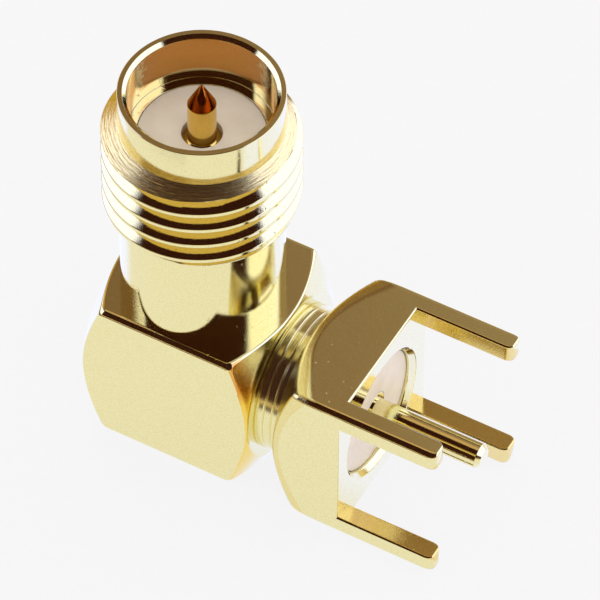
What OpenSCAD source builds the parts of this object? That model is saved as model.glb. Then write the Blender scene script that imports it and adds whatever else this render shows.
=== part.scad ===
// Right-angle coaxial board jack: a threaded barrel with a centre pin stands on
// a square brass elbow, and four legs and a contact pin leave it at a right angle
// for a circuit board. +Z runs out of the jack's mouth, +X along the board legs.
// The origin is where the jack's axis meets the face that the part lies on.

/* [Square bar] */
// Width across the flats of the bar that the elbow is cut from
bar_w = 5.84; // [5.6:0.02:7]
// Rounding along the bar's four long edges
edge_r = 0.22; // [0.05:0.01:0.4]
// Diameter of the flat left inside each turned end chamfer
end_flat_d = 5.7; // [5.3:0.05:5.8]
// Slope of the turned end chamfers, from the end face
end_chamfer_angle = 30; // [15:1:40]

/* [Elbow block] */
// From the jack's axis back to the capped face
block_back = 2.86; // [2.7:0.02:4]
// From the jack's axis forward to the neck
block_front = 3.27; // [2.9:0.01:4.5]
// Diameter of the passage where the two contacts meet
passage_d = 3.2; // [2.6:0.1:3.6]

/* [Neck] */
// Diameter over the neck's turned ridges
neck_d = 5; // [4.6:0.05:5.3]
// Length of the neck between block and base
neck_len = 0.89; // [0.7:0.01:2]
// Number of ridges
neck_ridges = 3; // [2:1:4]
// Depth of the grooves between the ridges
neck_groove = 0.07; // [0.04:0.01:0.12]

/* [Board base] */
// Thickness of the base, from the neck to the face that meets the board
base_t = 2.43; // [2:0.01:4]
// Width of each square leg
leg_w = 0.72; // [0.6:0.02:1]
// Length of the legs beyond the board face
leg_len = 3.45; // [2.5:0.01:5]
// Bevel round each leg's tip
leg_bevel = 0.2; // [0.05:0.01:0.25]
// Diameter of the bore that holds the board insulator
seat_bore_d = 4.24; // [4:0.02:4.4]
// Bevel at the mouth of that bore
seat_bevel = 0.18; // [0.02:0.01:0.2]

/* [Jack barrel] */
// Diameter of the barrel below its thread
barrel_d = 5.3; // [5:0.02:5.4]
// Height of the rim above the elbow block
barrel_h = 8.75; // [7:0.05:12]
// Diameter of the smooth nose in front of the thread
nose_d = 5.28; // [5:0.02:5.4]
// Length of the smooth nose
nose_len = 1.36; // [0.8:0.02:2]
// Outside diameter of the thread
thread_d = 6.35; // [6:0.01:6.5]
// Length of the thread with the bevels at both ends
thread_len = 3.76; // [2.4:0.02:5]
// Distance from one thread crest to the next
thread_pitch = 0.7056; // [0.5:0.0001:1]
// Depth of the thread
thread_depth = 0.43; // [0.3:0.01:0.45]
// Diameter of the jack's bore at its mouth
mouth_d = 4.7; // [4.5:0.02:4.8]
// Depth of the mouth, from the rim to the reference plane
mouth_depth = 1.87; // [1.5:0.01:2.2]
// Bevel inside the rim
rim_bevel = 0.12; // [0.04:0.01:0.16]
// Diameter of the shank pressed into the block
shank_d = 4.8; // [4.5:0.02:5]
// Metal left between the end of the shank and the passage below it
shank_ledge = 0.3; // [0.3:0.05:0.6]

/* [Insulators] */
// Diameter of the insulator in the jack
jack_insulator_d = 4.1; // [3.8:0.02:4.3]
// Height of the lip that stops the jack insulator
insulator_stop = 0.4; // [0.2:0.05:0.8]
// Length of the board insulator's wide part
board_insulator_len = 1.5; // [1:0.05:1.9]
// Depth of the board insulator's face below the board face
board_recess = 0.27; // [0:0.01:0.5]

/* [Contacts] */
// Diameter of the pin in the jack
jack_pin_d = 0.92; // [0.8:0.01:1]
// Height of the pin's tip above the reference plane
jack_pin_len = 2.13; // [1.5:0.01:2.4]
// Length of the pin's point
jack_point_len = 0.8; // [0.4:0.01:1]
// Diameter of the contact's body in the insulator
contact_body_d = 1.27; // [1.1:0.01:1.4]
// Depth of the contact's shoulder below the reference plane
shoulder_recess = 0.15; // [0:0.01:0.3]
// Diameter of the contact's tail
tail_d = 0.8; // [0.6:0.01:0.9]
// Diameter of the board contact inside its insulator
board_body_d = 1.27; // [1.2:0.01:1.4]
// Diameter of the contact pin among the legs
board_pin_d = 0.9; // [0.7:0.01:0.92]
// Reach of that pin beyond the legs' tips
board_pin_reach = 0.26; // [-0.5:0.01:1]
// Bevel at the end of that pin
board_pin_bevel = 0.15; // [0.05:0.01:0.25]
// Diameter of the head that takes the jack contact's tail
joint_head_d = 1.6; // [1.4:0.05:2]
// Length of that head
joint_head_len = 2; // [1.6:0.1:2.4]

/* [End cap] */
// Width of the ledge that the cap seats on, round the passage
cap_ledge = 0.2; // [0.1:0.01:0.25]
// Thickness of the cap
cap_t = 0.7; // [0.4:0.05:0.9]
// Bevel round the cap's outer face
cap_bevel = 0.1; // [0.02:0.01:0.2]

/* [Fits] */
// Gap all round between a pressed or pushed-in piece and its hole
fit_gap = 0.01; // [0.005:0.005:0.03]

/* [Hidden] */
$fn = 96;
gold = "#d8b14f";
ptfe = "#ece6dd";
tin = "#b9bcc0";
over = 1;                                   // how far a cutter passes its face
axis_z = bar_w / 2;                         // height of the board contact's axis
corner_r = bar_w * sqrt(2) / 2;             // reach of a sharp corner of the bar
base_x = block_front + neck_len;            // neck side of the base
seat_x = base_x + base_t;                   // face that meets the board
leg_x = seat_x + leg_len;                   // tips of the legs
rim_z = bar_w + barrel_h;                   // rim of the jack
plane_z = rim_z - mouth_depth;              // reference plane of the jack
thread_top = rim_z - nose_len;
thread_end = thread_top - thread_len;
shank_z = axis_z + passage_d / 2 + shank_ledge;     // lower end of the pressed shank
insulator_z = shank_z + insulator_stop;     // lower end of the jack insulator
root_d = thread_d - 2 * thread_depth;
start_bevel = (thread_d - nose_d) / 2 * tan(30);
end_bevel = (thread_d - barrel_d) / 2;
board_face_x = seat_x - board_recess;       // face of the board insulator
board_bore_x = board_face_x - board_insulator_len;
board_pin_x = leg_x + board_pin_reach;
tail_z = axis_z - joint_head_d / 2;         // lower end of the jack contact's tail
head_front = joint_head_len / 2;
cap_d = passage_d + 2 * cap_ledge;

// Turns a shape drawn about Z so that it runs along X at the contact's height
module along_x(x = 0) {
    translate([x, 0, axis_z]) rotate([90, 0, 90]) children();
}

// Cross-section of the bar: a square with rounded corners
module bar_section() {
    square([bar_w, bar_w - 2 * edge_r], center = true);
    square([bar_w - 2 * edge_r, bar_w], center = true);
    for (sx = [-1, 1], sy = [-1, 1])
        translate([sx, sy] * (bar_w / 2 - edge_r)) circle(r = edge_r);
}

// Length of bar with the turned chamfer on its back end, and on its front end too
// if front is true
module turned_bar(x0, x1, front) {
    rise = (corner_r - end_flat_d / 2) * tan(end_chamfer_angle);
    len = x1 - x0;
    end_r = front ? end_flat_d / 2 : corner_r;
    end_rise = front ? rise : 0;
    along_x(x0) intersection() {
        linear_extrude(len) bar_section();
        rotate_extrude()
            polygon([[0, 0], [end_flat_d / 2, 0], [corner_r, rise],
                     [corner_r, len - end_rise], [end_r, len], [0, len]]);
    }
}

// Side view of the base: two prongs with bevelled tips round a square slot
module fork_outline() {
    half = bar_w / 2;
    slot = half - leg_w;
    prong = [[leg_x - leg_bevel, half], [leg_x, half - leg_bevel],
             [leg_x, slot + leg_bevel], [leg_x - leg_bevel, slot], [seat_x, slot]];
    polygon(concat([[base_x, -half], [base_x, half]], prong,
                   [for (i = [len(prong) - 1:-1:0]) [prong[i][0], -prong[i][1]]]));
}

// The same fork milled from two sides leaves four square legs
module board_base() {
    intersection() {
        turned_bar(base_x, leg_x, false);
        translate([0, 0, -over]) linear_extrude(bar_w + 2 * over) fork_outline();
        translate([0, bar_w / 2 + over, axis_z]) rotate([90, 0, 0])
            linear_extrude(bar_w + 2 * over) fork_outline();
    }
}

// Turned neck from the block to the base: broad ridges between narrow grooves, whose
// sides slope at 45 degrees
module neck() {
    pitch = neck_len / neck_ridges;
    root = neck_d / 2 - neck_groove;
    ridges = [for (i = [0:neck_ridges - 1], low = i * pitch, high = low + pitch)
                 each [[root, low], [neck_d / 2, low + neck_groove],
                       [neck_d / 2, high - neck_groove], [root, high]]];
    along_x(block_front)
        rotate_extrude()
            polygon(concat([[0, -over], [root, -over]], ridges,
                           [[root, neck_len + over], [0, neck_len + over]]));
}

// The whole elbow, cut from one piece of bar
module elbow_body() {
    color(gold) difference() {
        union() {
            turned_bar(-block_back, block_front, true);
            neck();
            board_base();
        }
        // passage for the board contact, the cap's seat and the insulator's bore
        along_x(-block_back - over) cylinder(d = passage_d, h = seat_x + block_back + over);
        along_x(-block_back - over) cylinder(d = cap_d, h = cap_t + over);
        along_x(board_bore_x) cylinder(d = seat_bore_d, h = seat_x - board_bore_x + seat_bevel);
        along_x(seat_x - seat_bevel)
            cylinder(d1 = seat_bore_d, d2 = seat_bore_d + 4 * seat_bevel, h = 2 * seat_bevel);
        // bore for the barrel's shank, and the way down to the passage
        translate([0, 0, shank_z]) cylinder(d = shank_d, h = bar_w - shank_z + over);
        translate([0, 0, axis_z]) cylinder(d = passage_d, h = bar_w - axis_z);
    }
}

// Outline of the thread from its end up to its start: crests one pitch apart
function thread_outline() =
    let (flat = thread_pitch / 8,
         flank = (thread_pitch - 2 * flat) / 2,
         first = thread_end + end_bevel + flat,
         count = floor((thread_top - start_bevel - first) / thread_pitch))
    [for (i = [0:count - 1], z = [first + i * thread_pitch])
        each [[thread_d / 2, z], [root_d / 2, z + flank],
              [root_d / 2, z + flank + flat], [thread_d / 2, z + 2 * flank + flat]]];

// Threaded barrel of the jack, turned from round bar and pressed into the block
module jack_barrel() {
    inner = [[passage_d / 2, shank_z], [passage_d / 2, insulator_z],
             [jack_insulator_d / 2, insulator_z], [jack_insulator_d / 2, plane_z],
             [mouth_d / 2, plane_z], [mouth_d / 2, rim_z - rim_bevel],
             [mouth_d / 2 + rim_bevel, rim_z]];
    outer = concat(
        [[shank_d / 2 - fit_gap, shank_z], [shank_d / 2 - fit_gap, bar_w],
         [barrel_d / 2, bar_w], [barrel_d / 2, thread_end],
         [thread_d / 2, thread_end + end_bevel]],
        thread_outline(),
        [[thread_d / 2, thread_top - start_bevel], [nose_d / 2, thread_top],
         [nose_d / 2, rim_z]]);
    color(gold) rotate_extrude()
        polygon(concat(inner, [for (i = [len(outer) - 1:-1:0]) outer[i]]));
}

// Insulator that holds the jack contact, flush with the reference plane
module jack_insulator() {
    color(ptfe) translate([0, 0, insulator_z]) difference() {
        cylinder(d = jack_insulator_d - 2 * fit_gap, h = plane_z - insulator_z);
        translate([0, 0, -over])
            cylinder(d = contact_body_d + 2 * fit_gap, h = plane_z - insulator_z + 2 * over);
    }
}

// Centre contact of the jack: pointed pin, shouldered body and tail
module jack_contact() {
    shoulder = plane_z - shoulder_recess;
    tip = plane_z + jack_pin_len;
    tip_r = jack_pin_d / 16;
    color(gold) rotate_extrude()
        polygon([[0, tail_z], [tail_d / 2, tail_z], [tail_d / 2, insulator_z],
                 [contact_body_d / 2, insulator_z], [contact_body_d / 2, shoulder],
                 [jack_pin_d / 2, shoulder], [jack_pin_d / 2, tip - jack_point_len],
                 [tip_r, tip], [0, tip]]);
}

// Contact pin that goes through the board, with a cross-drilled head on the jack's axis
module board_contact() {
    len = board_pin_x + head_front;
    color(gold) difference() {
        along_x(-head_front) rotate_extrude()
            polygon([[0, 0], [joint_head_d / 2, 0], [joint_head_d / 2, joint_head_len],
                     [board_body_d / 2, joint_head_len],
                     [board_body_d / 2, board_face_x + head_front],
                     [board_pin_d / 2, board_face_x + head_front],
                     [board_pin_d / 2, len - board_pin_bevel],
                     [board_pin_d / 2 - board_pin_bevel, len], [0, len]]);
        cylinder(d = tail_d + 2 * fit_gap, h = bar_w);
    }
}

// Stepped insulator that centres the board contact in the neck and the base
module board_insulator() {
    back = head_front + fit_gap;
    color(ptfe) along_x() rotate_extrude()
        polygon([[board_body_d / 2 + fit_gap, back],
                 [board_body_d / 2 + fit_gap, board_face_x],
                 [seat_bore_d / 2 - fit_gap, board_face_x],
                 [seat_bore_d / 2 - fit_gap, board_bore_x],
                 [passage_d / 2 - fit_gap, board_bore_x], [passage_d / 2 - fit_gap, back]]);
}

// Solder that joins the tail to the head, climbing a little round the tail
module solder_joint() {
    head_r = joint_head_d / 2;
    color(tin) difference() {
        translate([0, 0, axis_z + head_r / 2])
            cylinder(r1 = head_r * 0.85, r2 = tail_d / 2 + 4 * fit_gap, h = head_r * 0.9);
        along_x(-head_front - over) cylinder(r = head_r + fit_gap, h = joint_head_len + 2 * over);
        cylinder(d = tail_d + 2 * fit_gap, h = rim_z);
    }
}

// Cap pressed into the back of the block after the contacts are soldered
module end_cap() {
    r = cap_d / 2 - fit_gap;
    color(gold) along_x(-block_back) rotate_extrude()
        polygon([[0, 0], [r - cap_bevel, 0], [r, cap_bevel], [r, cap_t], [0, cap_t]]);
}

elbow_body();
jack_barrel();
jack_insulator();
jack_contact();
board_contact();
board_insulator();
solder_joint();
end_cap();
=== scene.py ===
import bpy
import numpy as np
from mathutils import Matrix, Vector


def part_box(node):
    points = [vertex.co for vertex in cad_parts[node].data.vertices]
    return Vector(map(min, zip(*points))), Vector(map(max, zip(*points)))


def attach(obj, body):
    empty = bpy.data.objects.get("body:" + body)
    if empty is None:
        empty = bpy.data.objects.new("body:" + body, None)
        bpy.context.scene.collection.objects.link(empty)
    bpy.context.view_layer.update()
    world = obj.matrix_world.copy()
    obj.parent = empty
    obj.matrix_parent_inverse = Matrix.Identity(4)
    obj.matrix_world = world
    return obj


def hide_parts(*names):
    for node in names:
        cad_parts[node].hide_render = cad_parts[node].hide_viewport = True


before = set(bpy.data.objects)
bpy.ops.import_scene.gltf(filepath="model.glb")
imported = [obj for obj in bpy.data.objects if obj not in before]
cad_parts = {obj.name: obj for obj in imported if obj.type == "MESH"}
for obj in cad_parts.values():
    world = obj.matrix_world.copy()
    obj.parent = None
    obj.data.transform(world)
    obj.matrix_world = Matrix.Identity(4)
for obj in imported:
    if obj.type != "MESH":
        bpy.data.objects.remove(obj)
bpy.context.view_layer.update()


# ---- Elbow ---------------------------------------------------------------------
# Square brass bar, gold plated all over: a block, a turned neck and a base with four
# legs, all cut from one piece. The ends are chamfered in the lathe before the slots
# between the legs are milled from two sides, and tumbling rounds every edge.
MM = 0.001
low, high = (np.array(corner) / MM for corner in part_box("elbow_body"))
half = (high[2] - low[2]) / 2       # from the bar's axis to each of its flats
axis_z = low[2] + half
back_x, tip_x = low[0], high[0]
edge_r = 0.22                       # rounding along the bar's long edges
end_r = 2.85                        # flat left inside the turned chamfers
cone_angle = np.radians(30)         # slope of the turned chamfers, from the end faces
chamfer = np.tan(cone_angle)
front_x, base_x, seat_x = 3.27, 4.16, 6.59      # block's front, base's back, board face
leg_w = 0.72
leg_in = half - leg_w               # inner faces of the legs
leg_round, leg_end = 0.3, 0.1       # rounding at the legs' tips, across and up
worn = 0.08                         # rounding on the edges of slots, legs and chamfers
neck_r, neck_groove, neck_ridges = 2.5, 0.035, 3
passage_r, cap_r, cap_t = 1.6, 1.8, 0.7
seat_r, seat_bevel = 2.12, 0.18     # bore that holds the board insulator
insulator_face = seat_x - 0.27
insulator_back = insulator_face - 1.5           # where the bore steps down
near = 0.01                         # slack when faces are picked by where they lie
side_points, arc_points = 25, 9     # across half a slot, and round a leg's inner corner


def linear(code):
    """sRGB hex colour as the linear values that shaders take."""
    c = np.array([int(code[i:i + 2], 16) for i in (1, 3, 5)]) / 255
    return (*np.where(c <= 0.04045, c / 12.92, ((c + 0.055) / 1.055) ** 2.4), 1)


def add(tree, kind, inputs=(), stops=(), **settings):
    """Adds a node, sets its properties and its colour stops, and fills or links its
    inputs."""
    node = tree.nodes.new(kind)
    for name, value in settings.items():
        setattr(node, name, value)
    if stops:
        bar = node.color_ramp.elements
        while len(bar) < len(stops):
            bar.new(1)
        for mark, (place, code) in zip(bar, stops):
            mark.position, mark.color = place, linear(code)
    for socket, value in dict(inputs).items():
        if isinstance(value, bpy.types.NodeSocket):
            tree.links.new(value, node.inputs[socket])
        else:
            node.inputs[socket].default_value = value
    return node


def skin(name, bands, finish, node, lying=False, others=()):
    """One closed mesh from bands of faces. A band is a grid of points with a grid of
    normals, or with one vector that tells flat faces which way is out. Cells that have
    shrunk to a line are left out, and points that fall together are joined, which
    closes seams and poles. A lying piece is drawn about Z and laid along X. Each of the
    others is a finish with a test that picks its faces by radius and height, which on
    a lying piece is its place along X."""
    points = np.concatenate([p.reshape(-1, 3) for p, _ in bands])
    _, first, joined = np.unique(np.round(points * 1e5).astype(np.int64), axis=0,
                                 return_index=True, return_inverse=True)
    joined = joined.reshape(-1)
    loops, normals, start = {3: [], 4: []}, {3: [], 4: []}, 0
    for p, n in bands:
        index = start + np.arange(p[..., 0].size).reshape(p.shape[:2])
        start += index.size
        quad = np.stack([index[:-1, :-1], index[1:, :-1], index[1:, 1:],
                         index[:-1, 1:]], -1).reshape(-1, 4)
        face = np.cross(points[quad[:, 2]] - points[quad[:, 0]],
                        points[quad[:, 3]] - points[quad[:, 1]])
        smooth = np.ndim(n) > 1
        given = np.broadcast_to(n, p.shape).reshape(-1, 3)[quad - index[0, 0]]
        if (face * given.mean(1)).sum() < 0:
            quad, face, given = quad[:, ::-1], -face, given[:, ::-1]
        if not smooth:
            size = np.linalg.norm(face, axis=1, keepdims=True)
            given = np.repeat((face / np.maximum(size, 1e-12))[:, None], 4, 1)
        ring = joined[quad]
        keep = ring != np.roll(ring, 1, axis=1)
        crossed = (ring[:, 0] == ring[:, 2]) | (ring[:, 1] == ring[:, 3])
        for sides in (3, 4):
            rows = (keep.sum(1) == sides) & ~(crossed & (sides == 4))
            loops[sides].append(ring[rows][keep[rows]].reshape(-1, sides))
            normals[sides].append(given[rows][keep[rows]])
    loops = {sides: np.concatenate(part) for sides, part in loops.items()}
    used, flat = np.unique(np.concatenate([loops[3].ravel(), loops[4].ravel()]),
                           return_inverse=True)
    flat = flat.reshape(-1)
    corner = np.concatenate(normals[3] + normals[4])
    place = points[first][used]
    cut = loops[3].size
    faces = [flat[:cut].reshape(-1, 3), flat[cut:].reshape(-1, 4)]
    middle = np.concatenate([place[part].mean(1) for part in faces])
    if lying:
        place = place[:, [2, 0, 1]] + [0, 0, axis_z]
        corner = corner[:, [2, 0, 1]]
    mesh = bpy.data.meshes.new(name)
    mesh.from_pydata((place * MM).tolist(), [], faces[0].tolist() + faces[1].tolist())
    mesh.polygons.foreach_set("use_smooth", np.ones(len(mesh.polygons), bool))
    mesh.normals_split_custom_set(corner.tolist())
    mesh.materials.append(finish)
    chosen = np.zeros(len(middle), int)
    for number, (other, picks) in enumerate(others, 1):
        mesh.materials.append(other)
        chosen[picks(np.hypot(middle[:, 0], middle[:, 1]), middle[:, 2])] = number
    mesh.polygons.foreach_set("material_index", chosen)
    piece = bpy.data.objects.new(name, mesh)
    bpy.context.scene.collection.objects.link(piece)
    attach(piece, "root")
    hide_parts(node)
    return piece


def trace(corners, steps=5):
    """Follows a turned outline up its outer side, so that the metal is on the left.
    Each row is radius, height and edge rounding. A corner becomes an arc whose ends
    touch both its sides, cut short where a side is too short for it, and its normals
    turn evenly from one side to the other; a rounding of 0 leaves it sharp."""
    corners = np.array(corners, float)
    p, edge = corners[:, :2], corners[:, 2]
    side = np.roll(p, -1, 0) - p
    length = np.linalg.norm(side, axis=1)
    out = side / np.maximum(length, 1e-9)[:, None]
    into = np.roll(out, 1, 0)
    turn = np.arctan2(into[:, 0] * out[:, 1] - into[:, 1] * out[:, 0],
                      (into * out).sum(1))
    tangent = np.maximum(np.tan(np.abs(turn) / 2), 1e-9)
    cut = np.minimum(edge * tangent, 0.45 * np.minimum(length, np.roll(length, 1)))
    radius = np.sign(turn) * cut / tangent
    angle = np.arctan2(-into[:, 0], into[:, 1])[:, None]
    angle = angle + turn[:, None] * np.linspace(0, 1, steps)
    normal = np.stack([np.cos(angle), np.sin(angle)], -1)
    centre = p - into * cut[:, None] - normal[:, 0] * radius[:, None]
    point = centre[:, None] + normal * radius[:, None, None]
    return point.reshape(-1, 2), normal.reshape(-1, 2)


def revolve(point, normal, spoke):
    """Grid of a turned surface: each profile point, carried round the axis on spokes."""
    def lift(q):
        return np.concatenate([q[:, None, :1] * spoke,
                               np.repeat(q[:, None, 1:], len(spoke), 1)], -1)
    return lift(point), lift(normal)


def closed(corners, spoke, steps=5):
    """The whole skin of a turned piece, whose outline ends where it began."""
    point, normal = trace(corners, steps)
    return [revolve(np.vstack([point, point[:1]]), np.vstack([normal, normal[:1]]), spoke)]


def rolled(stations, faces, edges, steps=5):
    """Grid over rows of corner points, with the normals of the faces between them.
    Near each inner row the surface leaves one face early and joins the next over a
    parabola, and its normals turn evenly from the one face's to the other's. An edge
    says how early and how late, as one distance or as a pair."""
    points, normals = [stations[0]], [faces[0]]
    for before, here, after, old, new, edge in zip(stations, stations[1:], stations[2:],
                                                   faces, faces[1:], edges):
        into, out = here - before, after - here
        into_length, out_length = (np.maximum(np.linalg.norm(side, axis=1), 1e-9)
                                   for side in (into, out))
        before_edge, after_edge = edge if isinstance(edge, tuple) else (edge, edge)
        cut_in = np.minimum(before_edge, 0.45 * into_length)
        cut_out = np.minimum(after_edge, 0.45 * out_length)
        first = here - into * (cut_in / into_length)[:, None]
        last = here + out * (cut_out / out_length)[:, None]
        for t in np.linspace(0, 1, steps):
            points.append((1 - t) ** 2 * first + 2 * t * (1 - t) * here + t ** 2 * last)
            mixed = (1 - t) * old + t * new
            normals.append(mixed / np.linalg.norm(mixed, axis=1, keepdims=True))
    return np.stack(points + [stations[-1]]), np.stack(normals + [faces[-1]])


def bar_outline():
    """Section of the bar and its outward normals: a square with rounded corners, one
    quarter made of flat, arc and flat. Points fall where the legs' worn edges begin."""
    flat = np.r_[np.linspace(0, leg_edge, side_points),
                 np.linspace(leg_edge, half - edge_r, 7)[1:]]
    arc = np.linspace(0, np.pi / 2, 13)[1:-1]
    side = np.ones(flat.size)
    point = np.stack([np.r_[side * half, half - edge_r * (1 - np.cos(arc)), flat[::-1]],
                      np.r_[flat, half - edge_r * (1 - np.sin(arc)), side * half]], -1)
    normal = np.stack([np.r_[side, np.cos(arc), side * 0],
                       np.r_[side * 0, np.sin(arc), side]], -1)
    return point, normal


def quarter_turns(q):
    """A quarter's rows turned on through 0, 90, 180 and 270 degrees."""
    return [q @ np.array([[c, s], [-s, c]], float)
            for c, s in ((1, 0), (0, 1), (-1, 0), (0, -1))]


def all_round(q):
    """Four quarters joined in a ring."""
    return np.vstack([part[:-1] for part in quarter_turns(q)] + [q[:1]])


def at(height, section):
    """A section's points with a height set beside them: one for all, or each its own."""
    return np.concatenate([section, np.broadcast_to(height, section.shape[:-1])[..., None]], -1)


leg_edge = leg_in + worn
quarter, quarter_normal = bar_outline()
outline, facing = all_round(quarter), all_round(quarter_normal)
reach = np.linalg.norm(outline, axis=1)
spoke = outline / reach[:, None]
rise = (reach - end_r) * chamfer    # how far the cone has climbed at the bar's sides
up = at(1, spoke * 0)
back_cone = at(-np.cos(cone_angle), spoke * np.sin(cone_angle))
front_cone = at(np.cos(cone_angle), spoke * np.sin(cone_angle))
flank = at(0, facing)
to_corner = (reach - half) / np.ptp(reach)
worn_cone = 0.06 + 0.14 * to_corner ** 3    # rounding of the chamfers, more at the corners
roll = 0.2 + 0.4 * to_corner        # width of the base's last fall towards its back chamfer
fall = 0.12                         # and its angle, in radians

# neck: broad ridges between narrow grooves, in the lathe
ridge_w = (base_x - front_x) / neck_ridges
root_r = neck_r - neck_groove
ridges = [corner for k in range(neck_ridges) for corner in
          ((root_r, front_x + k * ridge_w, 0.03 if k else 0),
           (neck_r, front_x + k * ridge_w + neck_groove, 0.06),
           (neck_r, front_x + (k + 1) * ridge_w - neck_groove, 0.06))]
neck_point, neck_normal = trace(ridges + [(root_r, base_x, 0), (0, base_x, 0), (0, front_x, 0)])
neck_rows = slice(4, 5 * len(ridges) + 1)       # the ridges alone: five rows a corner

# legs: the worn edges of their slots, and the inner faces seen from the bore
turn = np.linspace(0, np.pi / 2, 6)
sunk = worn * (1 - np.cos(turn))    # how far a worn edge has moved over, at each turn
raised = half - worn * (1 - np.sin(turn))
is_leg = (quarter >= leg_edge - 1e-9).all(1)
leg_out, leg_facing = quarter[is_leg], quarter_normal[is_leg]
straight = (len(leg_out) - arc_points) // 2
quarter_arc = np.linspace(0, np.pi / 2, arc_points)
inner = np.r_[np.linspace(half - worn, leg_edge, straight + 1)[:-1],
              leg_edge - worn * np.sin(quarter_arc), np.full(straight, leg_in)]
leg_inner = np.stack([inner, inner[::-1]], -1)
inner = -np.r_[np.zeros(straight), np.sin(quarter_arc), np.ones(straight)]
inner_facing = np.stack([inner, inner[::-1]], -1)
board_edge = np.where(quarter > half - 1e-9, half - worn, quarter * leg_in / leg_edge)
board_edge[is_leg] = leg_inner
board_edge = all_round(board_edge)
board_spoke = board_edge / np.linalg.norm(board_edge, axis=1, keepdims=True)
inward, board_inward = at(0, -spoke), at(0, -board_spoke)

elbow = [
    rolled([at(back_x + cap_t, spoke * passage_r), at(back_x + cap_t, spoke * cap_r),
            at(back_x, spoke * cap_r), at(back_x, spoke * end_r), at(back_x + rise, outline),
            at(front_x - rise, outline), at(front_x, spoke * end_r), at(front_x, spoke * root_r)],
           [-up, inward, -up, back_cone, flank, front_cone, up],
           [0, 0.03, worn, worn_cone, worn_cone, worn]),
    revolve(neck_point[neck_rows], neck_normal[neck_rows], spoke),
    rolled([at(base_x, spoke * root_r), at(base_x, spoke * end_r),
            at(base_x + rise, outline - facing * (roll * np.tan(fall))[:, None]),
            at(base_x + rise + roll, outline), at(seat_x - worn, outline)],
           [-up, back_cone, at(-np.sin(fall), facing * np.cos(fall)), flank],
           [worn, (worn_cone, 1.5 * worn_cone), 0.45 * roll], 9),
    rolled([at(seat_x, board_edge), at(seat_x, board_spoke * (seat_r + seat_bevel)),
            at(seat_x - seat_bevel, board_spoke * seat_r), at(insulator_back, board_spoke * seat_r),
            at(insulator_back, board_spoke * passage_r), at(back_x + cap_t, spoke * passage_r)],
           [up, (up + board_inward) / np.sqrt(2), board_inward, up, inward],
           [0.04, 0.03, 0, 0]),
]
along = np.linspace(-1, 1, 2 * side_points - 1)
slot = np.stack([np.stack([0 * along + r, along * (leg_in + d)], -1)
                 for r, d in zip(raised, sunk)])
out = np.stack([np.sin(turn), turn * 0], -1)[:, None] + 0 * slot
for slot_side, slot_out in zip(quarter_turns(slot), quarter_turns(out)):
    elbow.append((at(seat_x - sunk[:, None], slot_side), at(np.cos(turn)[:, None], slot_out)))

# each leg is a tube: outer faces, worn edge, inner faces, worn edge. Its tip is rounded
# down to a small flat that is narrow across and tall
rim_a = np.stack([leg_in + sunk, raised], -1)[::-1]
rim_b = np.stack([raised, leg_in + sunk], -1)
edge_a = np.stack([-np.cos(turn), np.sin(turn)], -1)[::-1]
edge_b = np.stack([np.sin(turn), -np.cos(turn)], -1)
section = np.vstack([leg_out, rim_a, leg_inner[::-1], rim_b])
section_facing = np.vstack([leg_facing, edge_a, inner_facing[::-1], edge_b])
start = np.r_[np.full(len(leg_out), seat_x - worn), seat_x - sunk[::-1],
              np.full(len(leg_inner), seat_x), seat_x - sunk]
slack = (half - leg_in) / 2 - np.array([leg_round, leg_end])
for ring, ring_facing in zip(quarter_turns(section), quarter_turns(section_facing)):
    centre = np.sign(ring[0]) * (leg_in + half) / 2
    middle = centre + np.clip(ring - centre, -slack, slack)
    rows, row_facing = [at(start, ring)], [at(0, ring_facing)]
    for b in np.linspace(0, np.pi / 2, 17):
        lean = np.array([np.sin(b), max(0, 1 - leg_round * (1 - np.sin(b)) / leg_end)])
        shrink = np.sqrt(1 - lean ** 2)
        rows.append(at(tip_x - leg_round * (1 - np.sin(b)), middle + (ring - middle) * shrink))
        normal = at((ring_facing ** 2 * lean).sum(1), ring_facing * shrink)
        row_facing.append(normal / np.maximum(np.linalg.norm(normal, axis=1, keepdims=True), 1e-9))
    elbow += [(np.stack(rows), np.stack(row_facing)),
              (np.stack([at(tip_x, middle), at(tip_x, 0 * middle + centre)]), (0, 0, 1))]

# Bright gold plate over machined brass. The plate copies what lies under it: a slow
# wobble from tumbling, the cut's grain of 0.03 mm, scattered dents under 0.1 mm wide and
# hairline scratches. Patterns are laid out in millimetres.
plate_tone = ("#ebdf9d", "#f7f1c2")
gold = bpy.data.materials.new("bright_gold_plate")
gold.use_nodes = True
tree = gold.node_tree
tree.nodes.clear()
coords = add(tree, "ShaderNodeTexCoord")
mm = add(tree, "ShaderNodeVectorMath", {0: coords.outputs["Object"], "Scale": 1 / MM},
         operation="SCALE")
wobble = add(tree, "ShaderNodeTexNoise", {"Vector": mm.outputs[0], "Scale": 0.7, "Detail": 1.0})
grain = add(tree, "ShaderNodeTexNoise", {"Vector": mm.outputs[0], "Scale": 30.0, "Detail": 3.0})
cells = add(tree, "ShaderNodeTexVoronoi", {"Vector": mm.outputs[0], "Scale": 3.5})
dent = add(tree, "ShaderNodeMapRange", {"Value": cells.outputs["Distance"], "From Min": 0.05,
                                        "From Max": 0.13})
spared = add(tree, "ShaderNodeMapRange", {"Value": cells.outputs["Color"], "From Min": 0.42,
                                          "From Max": 0.46})
dent = add(tree, "ShaderNodeMath", {0: dent.outputs[0], 1: spared.outputs[0]}, operation="MAXIMUM")
drawn = add(tree, "ShaderNodeMapping", {"Vector": mm.outputs[0], "Rotation": (0.5, 0.9, 0.4),
                                        "Scale": (0.5, 9.0, 9.0)})
hairs = add(tree, "ShaderNodeTexNoise", {"Vector": drawn.outputs[0], "Scale": 1.0, "Detail": 2.0})
hair = add(tree, "ShaderNodeMapRange", {"Value": hairs.outputs["Fac"], "From Min": 0.66,
                                        "From Max": 0.74})
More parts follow.
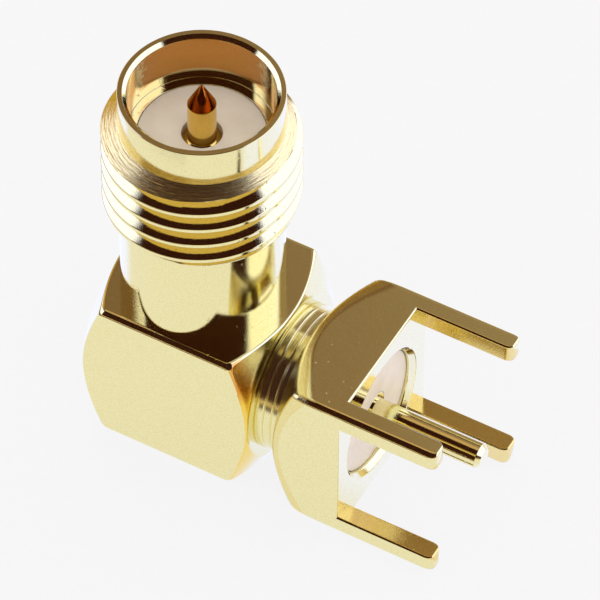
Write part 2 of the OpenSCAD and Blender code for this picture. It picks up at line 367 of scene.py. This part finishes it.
bump = add(tree, "ShaderNodeBump", {"Height": wobble.outputs["Fac"], "Distance": 3e-6})
bump = add(tree, "ShaderNodeBump", {"Height": grain.outputs["Fac"], "Distance": 0.9e-6,
                                    "Normal": bump.outputs[0]}, name="grain_depth")
bump = add(tree, "ShaderNodeBump", {"Height": dent.outputs[0], "Distance": 4e-6,
                                    "Normal": bump.outputs[0]})
bump = add(tree, "ShaderNodeBump", {"Height": hair.outputs[0], "Distance": -0.8e-6,
                                    "Normal": bump.outputs[0]})
tone = add(tree, "ShaderNodeValToRGB", {"Fac": grain.outputs["Fac"]},
           stops=((0.3, plate_tone[0]), (0.7, plate_tone[1])), name="tone")
haze = add(tree, "ShaderNodeMapRange", {"Value": grain.outputs["Fac"], "From Min": 0.3,
                                        "From Max": 0.7, "To Min": 0.04, "To Max": 0.1},
           name="haze")
shader = add(tree, "ShaderNodeBsdfPrincipled",
             {"Base Color": tone.outputs[0], "Metallic": 1.0, "Roughness": haze.outputs[0],
              "Normal": bump.outputs[0]}, name="plate")
add(tree, "ShaderNodeOutputMaterial", {"Surface": shader.outputs[0]})


def tinted(finish, name, dark, light):
    """Copy of a finish with other colours at the two ends of its tone."""
    copy = finish.copy()
    copy.name = name
    ends = copy.node_tree.nodes["tone"].color_ramp.elements
    ends[0].color, ends[1].color = linear(dark), linear(light)
    return copy


# the same plate over rough turning: fine rings left by the tool, and softer reflections
turned_gold = tinted(gold, "turned_gold_plate", *plate_tone)
tree = turned_gold.node_tree
coords = add(tree, "ShaderNodeTexCoord")
rings = add(tree, "ShaderNodeMapping", {"Vector": coords.outputs["Object"],
                                        "Scale": (28000, 1500, 1500)}, name="rings")
rings = add(tree, "ShaderNodeTexNoise", {"Vector": rings.outputs[0], "Scale": 1.0, "Detail": 3.0})
bump = add(tree, "ShaderNodeBump", {"Height": rings.outputs["Fac"], "Distance": 3e-6},
           name="ring_depth")
tree.links.new(bump.outputs[0], tree.nodes["plate"].inputs["Normal"])
tree.links.remove(tree.nodes["plate"].inputs["Roughness"].links[0])
tree.nodes["plate"].inputs["Roughness"].default_value = 0.16

# and over the milled insides of the legs: coarser grain, and a deeper yellow that is painted
# reflection of the gold legs facing each other
milled_painted_gold = tinted(gold, "milled_gold_painted_reflection", "#e8cc74", "#f2dc92")
milled_painted_gold.node_tree.nodes["grain_depth"].inputs["Distance"].default_value = 2.4e-6
milled_painted_gold.node_tree.nodes["haze"].inputs["To Max"].default_value = 0.16

# and on the block's front chamfer, a painted reflection: deep yellow low down on one side and
# coppery above
chamfer_painted_gold = tinted(gold, "chamfer_gold_painted_reflection", *plate_tone)
tree = chamfer_painted_gold.node_tree
coords = add(tree, "ShaderNodeTexCoord")
place = add(tree, "ShaderNodeSeparateXYZ", {0: coords.outputs["Object"]})
side = add(tree, "ShaderNodeMapRange", {"Value": place.outputs["Y"], "From Min": -2.6 * MM,
                                        "From Max": -2.1 * MM})
painted_reflection_ramp = add(tree, "ShaderNodeMapRange", {"Value": place.outputs["Z"], "From Min": 3 * MM,
                                         "From Max": 5.4 * MM})
painted_reflection_ramp = add(tree, "ShaderNodeValToRGB", {"Fac": painted_reflection_ramp.outputs[0]},
            stops=((0.0, "#f8dc7c"), (0.5, "#f8d25c"), (0.75, "#e29c40"), (1.0, "#e8b058")))
# the painted reflection's colours on the chamfer's -Y side, the plain tone beyond
tone = add(tree, "ShaderNodeMix", {0: side.outputs[0], 6: painted_reflection_ramp.outputs[0],
                                   7: tree.nodes["tone"].outputs[0]}, data_type="RGBA")
tree.links.new(tone.outputs[2], tree.nodes["plate"].inputs["Base Color"])

# and along the base's back edge, where tumbling has left it mottled
mottled_gold = tinted(gold, "mottled_gold_plate", "#e6d480", "#f6eab0")
mottled_gold.node_tree.nodes["grain_depth"].inputs["Distance"].default_value = 7e-6
mottled_gold.node_tree.nodes["haze"].inputs["To Max"].default_value = 0.2

skin("elbow_plated", elbow, gold, "elbow_body", lying=True,
     others=[(turned_gold, lambda r, x: (r > root_r - 2 * near) & (r < neck_r + near)
              & (x > front_x) & (x < base_x)),
             (chamfer_painted_gold, lambda r, x: (r > end_r) & (x < front_x)
              & (front_x - x < (r - end_r) * chamfer + 3 * near)),
             (mottled_gold, lambda r, x: (r > end_r) & (x > base_x + near)
              & (x - base_x < (r - end_r) * chamfer + 0.2 + 0.3 * (r - half))),
             (milled_painted_gold, lambda r, x: (r < np.hypot(leg_in, half)) & (x > seat_x + near))])


# ---- Jack barrel ---------------------------------------------------------------
# Brass turned from round bar, plated as the elbow, with the 1/4-36 coupling thread cut
# on it as one right-hand helix. Its shank is pressed into the top of the block.
_, rim = (np.array(corner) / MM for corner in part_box("jack_barrel"))
rim_z = rim[2]
block_z = high[2]
barrel_r, nose_r, crest_r = 2.65, 2.64, 3.175
mouth_r, plane_z = 2.35, rim_z - 1.87
bore_r, insulator_z = 2.05, 5.22
shank_r, shank_z = 2.39, 4.82
rim_bevel = 0.12
bed = 0.01                          # how far the barrel's foot beds into the block
pitch, depth, crest_flat = 0.7056, 0.43, 0.15
crest_round, root_round = 0.05, 0.04
thread_top, thread_end = rim_z - 1.36, rim_z - 1.36 - 3.76
crest_z, crest_angle = 13.05, np.radians(-61.1)     # one crest's height, and where

turns = 192
angle = np.linspace(0, 2 * np.pi, turns + 1)
round_spoke = np.stack([np.cos(angle), np.sin(angle)], -1)
round_spoke[-1] = round_spoke[0]


def thread_band():
    """Thread ridges one pitch apart, rounded at crest and root, each point raised by a
    pitch for each turn. The radius is held inside the bevels at both ends, a shallow
    one at the top and one of 45 degrees at the foot, and heights past the ends fall
    onto them."""
    root = crest_r - depth
    side = depth * chamfer
    floor_z = pitch - crest_flat - 2 * side
    rows = np.array([[root, -crest_flat / 2 - side - floor_z, root_round],
                     [root, -crest_flat / 2 - side, root_round],
                     [crest_r, -crest_flat / 2, crest_round],
                     [crest_r, crest_flat / 2, crest_round]])
    lift = np.arange(-2, 9)[:, None, None] * [0, pitch, 0]
    corners = (rows + lift).reshape(-1, 3)
    # seven rows round each corner, and eight down each side so that the bevels cut it cleanly
    row = np.r_[np.arange(6), np.linspace(6, 7, 8, endpoint=False)]
    row = (np.arange(1, len(corners) - 1)[:, None] * 7 + row).ravel()
    point, normal = (np.stack([np.interp(row, np.arange(len(q)), part) for part in q.T], -1)
                     for q in trace(corners, 7))
    phase = crest_z - crest_angle / (2 * np.pi) * pitch
    phase -= np.ceil((phase - thread_end) / pitch + 2) * pitch
    z = point[:, 1][:, None] + phase + pitch + angle * pitch / (2 * np.pi)
    assert z[0].max() < thread_end and z[-1].min() > thread_top
    z = np.clip(z, thread_end, thread_top)
    start = nose_r + (thread_top - z) / chamfer
    finish = barrel_r + (z - thread_end)
    limit = np.minimum(start, finish)
    r = np.minimum(point[:, :1], limit)
    held = (limit < point[:, :1])[..., None]
    lead = pitch / (2 * np.pi) / r
    nr, nz = normal[:, :1] + 0 * z, normal[:, 1:] + 0 * z
    plain = np.stack([nr, -lead * nz, nz], -1)
    bevel = np.where((start < finish)[..., None], [np.sin(cone_angle), 0, np.cos(cone_angle)],
                     [np.sqrt(0.5), 0, -np.sqrt(0.5)])
    n = np.where(held, bevel, plain)
    c, s = round_spoke.T
    place = np.stack([r * c, r * s, z], -1)
    out = np.stack([n[..., 0] * c - n[..., 1] * s, n[..., 0] * s + n[..., 1] * c, n[..., 2]], -1)
    return place, out / np.linalg.norm(out, axis=-1, keepdims=True)


barrel_point, barrel_normal = trace([
    (nose_r, thread_top, 0), (nose_r, rim_z, 0.03), (mouth_r + rim_bevel, rim_z, 0.015),
    (mouth_r, rim_z - rim_bevel, 0.02), (mouth_r, plane_z, 0.02), (bore_r, plane_z, 0.02),
    (bore_r, insulator_z, 0), (passage_r, insulator_z, 0), (passage_r, shank_z, 0),
    (shank_r, shank_z, 0.03), (shank_r, block_z - bed, 0), (barrel_r, block_z - bed, 0),
    (barrel_r, thread_end, 0)])

# painted reflection: the mouth's walls are coppery high up on one side, and pale gold on the
# other side and in the last 0.4 mm above the shoulder, the two meeting in spots about 0.15 mm wide
mouth_painted_gold = tinted(gold, "mouth_gold_painted_reflection", "#c98e48", "#d9a05a")
tree = mouth_painted_gold.node_tree
coords = add(tree, "ShaderNodeTexCoord")
# the side of the mouth where the painted reflection is pale
pale_reflection_side = (np.cos(crest_angle) / MM, np.sin(crest_angle) / MM, 0)
toward = add(tree, "ShaderNodeVectorMath", {0: coords.outputs["Object"], 1: pale_reflection_side},
             operation="DOT_PRODUCT")
spots = add(tree, "ShaderNodeTexNoise", {"Vector": coords.outputs["Object"], "Scale": 7000.0,
                                         "Detail": 3.0})
toward = add(tree, "ShaderNodeMath", {0: spots.outputs["Fac"], 1: toward.outputs["Value"]},
             operation="ADD")
pale_reflection_mask = add(tree, "ShaderNodeMapRange", {"Value": toward.outputs[0], "From Min": -1.0,
                                         "From Max": -0.7})
depth_in = add(tree, "ShaderNodeSeparateXYZ", {0: coords.outputs["Object"]})
depth_in = add(tree, "ShaderNodeMapRange", {"Value": depth_in.outputs["Z"],
                                            "From Min": (plane_z + 0.45) * MM,
                                            "From Max": (plane_z + 0.35) * MM})
pale_reflection_mask = add(tree, "ShaderNodeMath", {0: pale_reflection_mask.outputs[0], 1: depth_in.outputs[0]},
            operation="MAXIMUM")
tone = add(tree, "ShaderNodeMix", {0: pale_reflection_mask.outputs[0],
                                   6: tree.nodes["tone"].outputs[0],
                                   7: linear("#f0e4ae")}, data_type="RGBA")
tree.links.new(tone.outputs[2], tree.nodes["plate"].inputs["Base Color"])

# and the bevel at the thread's start keeps the marks of its tool
cone_gold = tinted(turned_gold, "turned_gold_cone", "#ecd890", "#f4e6ac")
cone_gold.node_tree.nodes["rings"].inputs["Scale"].default_value = (1500, 1500, 28000)
cone_gold.node_tree.nodes["ring_depth"].inputs["Distance"].default_value = 20e-6
cone_gold.node_tree.nodes["plate"].inputs["Roughness"].default_value = 0.25


def on_start_bevel(r, z):
    """Whether a face lies on the bevel above the thread, or just under it."""
    under = nose_r + (thread_top - z) / chamfer - r
    return (under > -near / 2) & (under < 2 * near) & (r > nose_r) & (r < crest_r)


skin("jack_barrel_plated",
     [revolve(barrel_point, barrel_normal, round_spoke), thread_band()],
     gold, "jack_barrel",
     others=[(mouth_painted_gold, lambda r, z: (r < mouth_r + near) & (z < rim_z - rim_bevel - near)),
             (cone_gold, on_start_bevel)])


# ---- Jack insulator ------------------------------------------------------------
# PTFE rod, turned and bored, pushed in from below until its face is level with the
# shoulder in the mouth. White, waxy and slightly see-through, with faint tool rings.
ptfe = bpy.data.materials.new("turned_ptfe")
ptfe.use_nodes = True
tree = ptfe.node_tree
tree.nodes.clear()
coords = add(tree, "ShaderNodeTexCoord")
mm = add(tree, "ShaderNodeVectorMath", {0: coords.outputs["Object"], "Scale": 1 / MM},
         operation="SCALE")
cloud = add(tree, "ShaderNodeTexNoise", {"Vector": mm.outputs[0], "Scale": 1.2, "Detail": 2.0})
fuzz = add(tree, "ShaderNodeTexNoise", {"Vector": mm.outputs[0], "Scale": 22.0, "Detail": 2.0})
tone = add(tree, "ShaderNodeValToRGB", {"Fac": cloud.outputs["Fac"]},
           stops=((0.3, "#e6e0d8"), (0.7, "#f0ebe4")))
bump = add(tree, "ShaderNodeBump", {"Height": fuzz.outputs["Fac"], "Distance": 3e-6})
shader = add(tree, "ShaderNodeBsdfPrincipled",
             {"Base Color": tone.outputs[0], "Roughness": 0.38, "IOR": 1.35,
              "Subsurface Weight": 0.3, "Subsurface Scale": 0.0004,
              "Subsurface Radius": (1.0, 0.9, 0.8), "Normal": bump.outputs[0]})
add(tree, "ShaderNodeOutputMaterial", {"Surface": shader.outputs[0]})

contact_r, gap = 0.635, 0.01        # gap: the slack round a piece pushed into its hole
skin("jack_insulator_ptfe",
     closed([(contact_r + gap, insulator_z, 0), (bore_r - gap, insulator_z, 0.03),
             (bore_r - gap, plane_z, 0.04), (contact_r + gap, plane_z, 0.03)], round_spoke),
     ptfe, "jack_insulator")


# ---- Jack contact --------------------------------------------------------------
# Beryllium copper pin with a long point, a shouldered body in the insulator and a thin
# tail that drops into the board contact's head. Gold plated thicker, in a redder tone that is
# painted reflection of the coppery mouth round it; its point is painted copper, also a painted
# reflection.
contact_gold = tinted(gold, "hard_gold_plate", "#dcb452", "#eaca6e")
# painted reflection: the point's copper colour stands for the mouth mirrored in it
point_painted_gold = tinted(gold, "pin_point_painted_reflection", "#c4752c", "#d28a3c")
tail, point_top = (np.array(corner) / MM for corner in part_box("jack_contact"))
pin_r, tail_r, point_len = 0.46, 0.4, 0.8
shoulder_z, shoulder_fall = plane_z - 0.15, 0.1
skin("jack_contact_pin",
     closed([(0, tail[2], 0), (tail_r, tail[2], 0.03), (tail_r, insulator_z, 0),
             (contact_r, insulator_z, 0.03), (contact_r, shoulder_z - shoulder_fall, 0.04),
             (pin_r, shoulder_z, 0.03), (pin_r, point_top[2] - point_len, 0.12),
             (pin_r / 8, point_top[2], 0.05), (0, point_top[2], 0)], round_spoke),
     contact_gold, "jack_contact",
     others=[(point_painted_gold, lambda r, z: z > point_top[2] - point_len)])


# ---- Board contact -------------------------------------------------------------
# Turned pin that goes through the board. Its wide head stands under the jack, where
# the jack contact's tail is soldered into it.
head_back, pin_end = (np.array(corner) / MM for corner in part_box("board_contact"))
head_x, board_x = head_back[0], pin_end[0]
head_r, head_front = 0.8, head_x + 2
board_pin_r, board_pin_bevel = 0.45, 0.15
skin("board_contact_pin",
     closed([(0, head_x, 0), (head_r, head_x, 0.05), (head_r, head_front, 0.05),
             (contact_r, head_front, 0), (contact_r, insulator_face, 0.02),
             (board_pin_r, insulator_face, 0), (board_pin_r, board_x - board_pin_bevel, 0.02),
             (board_pin_r - board_pin_bevel, board_x, 0.03), (0, board_x, 0)], round_spoke),
     gold, "board_contact", lying=True)


# ---- Board insulator -----------------------------------------------------------
# Stepped PTFE bush that centres the board contact in the neck and the base. Its narrow
# end stops against the contact's head.
bush_x = head_front + gap
skin("board_insulator_ptfe",
     closed([(contact_r + gap, bush_x, 0), (passage_r - gap, bush_x, 0.03),
             (passage_r - gap, insulator_back, 0), (seat_r - gap, insulator_back, 0.03),
             (seat_r - gap, insulator_face, 0.04), (contact_r + gap, insulator_face, 0.02)],
            round_spoke),
     ptfe, "board_insulator", lying=True)


# ---- Solder joint --------------------------------------------------------------
# Small tin fillet between tail and head, inside the block and out of sight.
tin = bpy.data.materials.new("soft_solder")
tin.use_nodes = True
tree = tin.node_tree
shader = tree.nodes["Principled BSDF"]
mottle = add(tree, "ShaderNodeTexNoise", {"Scale": 9000.0, "Detail": 3.0})
tone = add(tree, "ShaderNodeValToRGB", {"Fac": mottle.outputs["Fac"]},
           stops=((0.35, "#a9acb0"), (0.65, "#c9ccd0")))
tree.links.new(tone.outputs[0], shader.inputs["Base Color"])
shader.inputs["Metallic"].default_value = 1.0
shader.inputs["Roughness"].default_value = 0.3
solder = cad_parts["solder_joint"]
for holder in solder.material_slots:
    holder.link = "OBJECT"
    holder.material = tin


# ---- End cap -------------------------------------------------------------------
# Turned disc pressed into the back of the block, level with its face.
skin("end_cap_plated",
     closed([(0, back_x, 0), (cap_r - gap, back_x, 0.08), (cap_r - gap, back_x + cap_t, 0.03),
             (0, back_x + cap_t, 0)], round_spoke),
     gold, "end_cap", lying=True)


# ---- Table, room and camera ----------------------------------------------------
# White card under the part, warm and dim further off, with white panels at its left
# and right, a dark room in front of it and a brown one behind and above.
floor_mesh = bpy.data.meshes.new("table")
floor_mesh.from_pydata([(-0.5, -0.5, 0), (0.5, -0.5, 0), (0.5, 0.5, 0), (-0.5, 0.5, 0)],
                       [], [(0, 1, 2, 3)])
floor = bpy.data.objects.new("table", floor_mesh)
bpy.context.scene.collection.objects.link(floor)
card = bpy.data.materials.new("white_card")
card.use_nodes = True
tree = card.node_tree
tree.nodes.clear()
path = add(tree, "ShaderNodeLightPath")
seen = add(tree, "ShaderNodeMath", {0: path.outputs["Is Camera Ray"],
                                    1: path.outputs["Is Glossy Ray"]}, operation="MAXIMUM")
seen = add(tree, "ShaderNodeMath", {0: seen.outputs[0],
                                    1: path.outputs["Is Transmission Ray"]}, operation="MAXIMUM")
share = add(tree, "ShaderNodeMath", {0: seen.outputs[0], 1: 0.93}, operation="MULTIPLY")
coords = add(tree, "ShaderNodeTexCoord")
away = add(tree, "ShaderNodeVectorMath", {0: coords.outputs["Object"]}, operation="LENGTH")
# what the gold mirrors of it: dim and warm far off
far = add(tree, "ShaderNodeMapRange", {"Value": away.outputs["Value"], "From Min": 0.03,
                                       "From Max": 0.05})
far = add(tree, "ShaderNodeMath", {0: far.outputs[0], 1: path.outputs["Is Glossy Ray"]},
          operation="MULTIPLY")
fibre = add(tree, "ShaderNodeTexNoise", {"Vector": coords.outputs["Object"], "Scale": 4000.0,
                                         "Detail": 2.0})
white = add(tree, "ShaderNodeValToRGB", {"Fac": fibre.outputs["Fac"]},
            stops=((0.3, "#f6f6f8"), (0.7, "#f7f7f9")))
# painted light: the card is brighter on the part's far side, in what the gold mirrors of it
ground = add(tree, "ShaderNodeSeparateXYZ", {0: coords.outputs["Object"]})
lit = add(tree, "ShaderNodeMapRange", {"Value": ground.outputs["Y"], "From Min": -0.0026,
                                       "From Max": -0.0006})
lit = add(tree, "ShaderNodeMath", {0: lit.outputs[0], 1: path.outputs["Is Glossy Ray"]},
          operation="MULTIPLY")
white = add(tree, "ShaderNodeMix", {0: lit.outputs[0], 6: white.outputs[0],
                                    7: (1.0, 1.08, 1.65, 1)}, data_type="RGBA")
# and dark a little way off on its left
sideways = add(tree, "ShaderNodeVectorMath", {0: coords.outputs["Object"],
                                              1: (0.97, 0.30, 0)}, operation="DOT_PRODUCT")
dark = add(tree, "ShaderNodeMapRange", {"Value": sideways.outputs["Value"], "From Min": -0.001,
                                        "From Max": -0.003})
clear = add(tree, "ShaderNodeMapRange", {"Value": away.outputs["Value"], "From Min": 0.0155,
                                         "From Max": 0.0175})
dark = add(tree, "ShaderNodeMath", {0: dark.outputs[0], 1: clear.outputs[0]}, operation="MULTIPLY")
dark = add(tree, "ShaderNodeMath", {0: dark.outputs[0], 1: path.outputs["Is Glossy Ray"]},
           operation="MULTIPLY")
closer = add(tree, "ShaderNodeMix", {0: dark.outputs[0], 6: white.outputs[2],
                                     7: linear("#4a2a1a")}, data_type="RGBA")
tint = add(tree, "ShaderNodeMix", {0: far.outputs[0], 6: closer.outputs[2],
                                   7: linear("#dcbf7c")}, data_type="RGBA")
paper = add(tree, "ShaderNodeBsdfDiffuse", {"Color": linear("#f5f5f7")})
glow = add(tree, "ShaderNodeEmission", {"Color": tint.outputs[2], "Strength": 1.0})
blend = add(tree, "ShaderNodeMixShader", {0: share.outputs[0], 1: paper.outputs[0],
                                          2: glow.outputs[0]})
add(tree, "ShaderNodeOutputMaterial", {"Surface": blend.outputs[0]})
floor_mesh.materials.append(card)

azimuth, elevation, tilt = np.radians((-61.11016, 49.3528, 0.58421))    # of the camera
world = bpy.data.worlds.new("studio")
bpy.context.scene.world = world
world.use_nodes = True
tree = world.node_tree
tree.nodes.clear()
ray = add(tree, "ShaderNodeTexCoord")
# the room is laid out from where the camera stands: x runs towards it, y to its right
room = add(tree, "ShaderNodeVectorRotate", {"Vector": ray.outputs["Generated"],
                                            "Angle": -azimuth}, rotation_type="Z_AXIS")
axes = add(tree, "ShaderNodeSeparateXYZ", {0: room.outputs[0]})
# white panels at both sides, the left one leaning further in towards the front
across = add(tree, "ShaderNodeMath", {0: axes.outputs["Y"], 1: 0.08}, operation="ADD")
across = add(tree, "ShaderNodeMath", {0: across.outputs[0]}, operation="ABSOLUTE")
nearer = add(tree, "ShaderNodeMath", {0: axes.outputs["X"], 1: 0.0}, operation="MAXIMUM")
left = add(tree, "ShaderNodeMath", {0: axes.outputs["Y"], 1: 0.0}, operation="LESS_THAN")
slant = add(tree, "ShaderNodeMath", {0: left.outputs[0], 1: -0.75, 2: -0.45},
            operation="MULTIPLY_ADD")
inside = add(tree, "ShaderNodeMath", {0: nearer.outputs[0], 1: slant.outputs[0], 2: -0.53},
             operation="MULTIPLY_ADD")
beyond = add(tree, "ShaderNodeMath", {0: across.outputs[0], 1: inside.outputs[0]}, operation="ADD")
panel = add(tree, "ShaderNodeMapRange", {"Value": beyond.outputs[0], "From Min": 0.0,
                                         "From Max": 0.05})
# dark in front; behind, brown and paler high up, with a yellow patch low on the left
ahead = add(tree, "ShaderNodeMapRange", {"Value": axes.outputs["X"], "From Min": -0.16,
                                         "From Max": -0.08})
wall = add(tree, "ShaderNodeValToRGB", {"Fac": axes.outputs["Z"]},
           stops=((0.0, "#4a3826"), (0.5, "#7c6044"), (0.8, "#7c6044"), (0.93, "#cfae80")))
sideways = add(tree, "ShaderNodeMapRange", {"Value": axes.outputs["Y"], "From Min": -0.04,
                                            "From Max": 0.05})
behind = add(tree, "ShaderNodeMix", {0: sideways.outputs[0], 6: wall.outputs[0],
                                     7: linear("#a08c72")}, data_type="RGBA")
front = add(tree, "ShaderNodeValToRGB", {"Fac": axes.outputs["Z"]},
            stops=((0.0, "#5a3a24"), (0.06, "#3a1c12"), (1.0, "#30140c")))
glint = add(tree, "ShaderNodeMapRange", {"Value": axes.outputs["Y"], "From Min": -0.12,
                                         "From Max": -0.32})
below = add(tree, "ShaderNodeMapRange", {"Value": axes.outputs["Z"], "From Min": 0.72,
                                         "From Max": 0.62})
glint = add(tree, "ShaderNodeMath", {0: glint.outputs[0], 1: below.outputs[0]},
            operation="MULTIPLY")
behind = add(tree, "ShaderNodeMix", {0: glint.outputs[0], 6: behind.outputs[2],
                                     7: linear("#c8a24c")}, data_type="RGBA")
centre = add(tree, "ShaderNodeMix", {0: ahead.outputs[0], 6: behind.outputs[2],
                                     7: front.outputs[0]}, data_type="RGBA")
whole = add(tree, "ShaderNodeMix", {0: panel.outputs[0], 6: centre.outputs[2],
                                    7: (1.35, 1.42, 2.1, 1)}, data_type="RGBA")
# white below the horizon, and for light that bounces a plain warm glow from all round
ground = add(tree, "ShaderNodeMath", {0: axes.outputs["Z"], 1: 0.0}, operation="LESS_THAN")
whole = add(tree, "ShaderNodeMix", {0: ground.outputs[0], 6: whole.outputs[2],
                                    7: linear("#f8f8fa")}, data_type="RGBA")
path = add(tree, "ShaderNodeLightPath")
seen = add(tree, "ShaderNodeMath", {0: path.outputs["Is Camera Ray"],
                                    1: path.outputs["Is Glossy Ray"]}, operation="MAXIMUM")
seen = add(tree, "ShaderNodeMath", {0: seen.outputs[0],
                                    1: path.outputs["Is Transmission Ray"]}, operation="MAXIMUM")
whole = add(tree, "ShaderNodeMix", {0: seen.outputs[0], 6: (1.27, 1.14, 0.98, 1),
                                    7: whole.outputs[2]}, data_type="RGBA")
light = add(tree, "ShaderNodeBackground", {"Color": whole.outputs[2], "Strength": 1.0})
add(tree, "ShaderNodeOutputWorld", {"Surface": light.outputs[0]})

# a long lens 194 mm from the middle of the part, looking down on it
camera = bpy.data.cameras.new("camera")
camera.lens = 367.44
camera.sensor_width = 36
camera.clip_start, camera.clip_end = 0.01, 5
eye = bpy.data.objects.new("camera", camera)
eye.matrix_world = (Matrix.Translation((0.003547, -0.000001, 0.00675))
                    @ Matrix.Rotation(azimuth + np.pi / 2, 4, "Z")
                    @ Matrix.Rotation(np.pi / 2 - elevation, 4, "X")
                    @ Matrix.Rotation(tilt, 4, "Z")
                    @ Matrix.Translation((0, 0, 0.194139)))
bpy.context.scene.collection.objects.link(eye)
bpy.context.scene.camera = eye
bpy.context.scene.view_settings.view_transform = "Standard"
